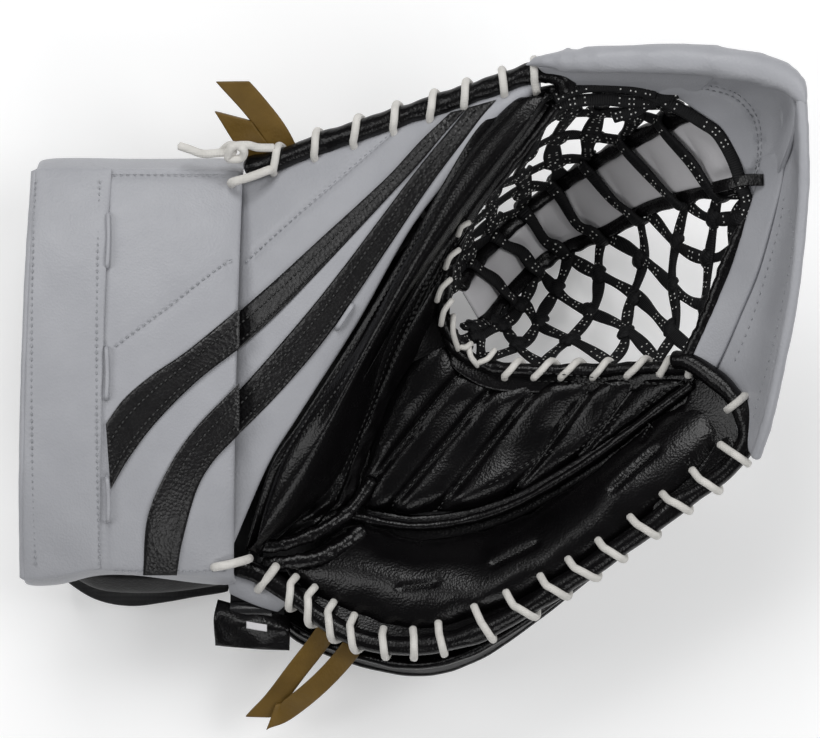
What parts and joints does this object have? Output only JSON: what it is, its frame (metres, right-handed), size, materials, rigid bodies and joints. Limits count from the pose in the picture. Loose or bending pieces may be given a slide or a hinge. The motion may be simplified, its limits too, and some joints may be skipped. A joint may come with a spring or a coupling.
{
  "type": "goalie catch glove",
  "caption": "Ice hockey goalie catch glove lying on its back: padded palm, laced net pocket with a web stem, striped thumb panel and flexing wrist cuff.",
  "frame": {"origin": "centre of the bounding box in plan, on the floor the glove lies on", "axes": "+X from the wrist cuff to the top of the pocket, +Y to the thumb side, +Z away from the floor, palm up"},
  "size_m": [0.3708, 0.3232, 0.158],
  "materials": {
    "white_leather": "smooth coated leather",
    "black_leather": "soft black leather",
    "stripe_leather": "pebbled black leather",
    "grey_leather": "smooth leather",
    "white_lace": "waxed braided lace",
    "net_lace": "flat braided lace with light tracer dots",
    "tan_thong": "oiled rawhide",
    "stiff_board": "sheet plastic",
    "lining": "brushed lining",
    "webbing": "woven",
    "loop_patch": "hook and loop",
    "ring_plastic": "moulded"
  },
  "bodies": {
    "hand_side": {"palm_pad": "black_leather", "palm_board": "stiff_board", "finger_pad": "black_leather", "finger_board": "stiff_board", "palm_welt": "black_leather", "finger_binding": "black_leather", "finger_lace": "white_lace", "pocket_binding": "black_leather", "pocket_lace": "white_lace", "cap_flap": "white_leather", "flap_piping": "white_leather", "flap_binding": "black_leather", "finger_net": "net_lace", "finger_back": "black_leather", "finger_side": "black_leather", "backhand_pad": "lining", "hand_liner": "lining", "finger_divider_a": "lining", "finger_divider_b": "lining", "finger_divider_c": "lining", "heel_thong_a": "tan_thong", "heel_thong_b": "tan_thong", "strap_tab": "white_leather", "wrist_liner": "lining"},
    "t_web": {"t_stem": "black_leather", "stem_binding_thumb": "black_leather", "stem_binding_finger": "black_leather", "stem_patch": "grey_leather", "gusset": "black_leather"},
    "thumb_side": {"thumb_panel": "white_leather", "thumb_board": "stiff_board", "thumb_stripe_a": "stripe_leather", "thumb_stripe_b": "stripe_leather", "thumb_pad": "black_leather", "thumb_binding": "black_leather", "thumb_lace": "white_lace", "thumb_back": "white_leather", "thumb_liner": "lining", "thumb_pocket_binding": "black_leather", "thumb_pocket_lace": "white_lace", "cap_roll": "white_leather", "cap_wall": "white_leather", "thumb_net": "net_lace", "top_thong_a": "tan_thong", "top_thong_b": "tan_thong", "lace_knot": "white_lace", "lace_tail": "white_lace"},
    "cuff": {"cuff_shell": "white_leather", "cuff_board": "stiff_board", "cuff_lining": "lining", "cuff_band": "white_leather", "cuff_stripe_a": "stripe_leather", "cuff_stripe_b": "stripe_leather", "cuff_wall_top": "white_leather", "cuff_wall_heel": "white_leather", "cuff_piping": "white_leather"},
    "strap_ring": {"strap_ring": "ring_plastic"},
    "backhand_strap": {"backhand_strap": "webbing", "strap_patch": "loop_patch"}
  },
  "joints": [
    {"name": "t_fold", "type": "hinge", "parent": "hand_side", "child": "t_web", "pos_m": [-0.0822, -0.0866, 0.062], "axis": [0.7236, 0.6413, 0.2554], "range_deg": [0, 30]},
    {"name": "thumb_close", "type": "hinge", "parent": "t_web", "child": "thumb_side", "pos_m": [-0.0822, -0.0866, 0.062], "axis": [0.7236, 0.6413, 0.2554], "range_deg": [0, 30]},
    {"name": "cuff_flex", "type": "hinge", "parent": "thumb_side", "child": "cuff", "pos_m": [-0.0807, 0.0114, 0.082], "axis": [0, 1, 0], "range_deg": [-8, 16]},
    {"name": "strap_ring_swing", "type": "hinge", "parent": "hand_side", "child": "strap_ring", "pos_m": [-0.0772, -0.1046, 0.0495], "axis": [1, 0, 0], "range_deg": [-8, 25]},
    {"name": "backhand_strap_open", "type": "hinge", "parent": "hand_side", "child": "backhand_strap", "pos_m": [-0.0462, -0.0946, 0.006], "axis": [-1, 0, 0], "range_deg": [0, 100]}
  ],
  "couplings": [
    {"joint": "t_fold", "follows": "thumb_close", "ratio": 1}
  ]
}
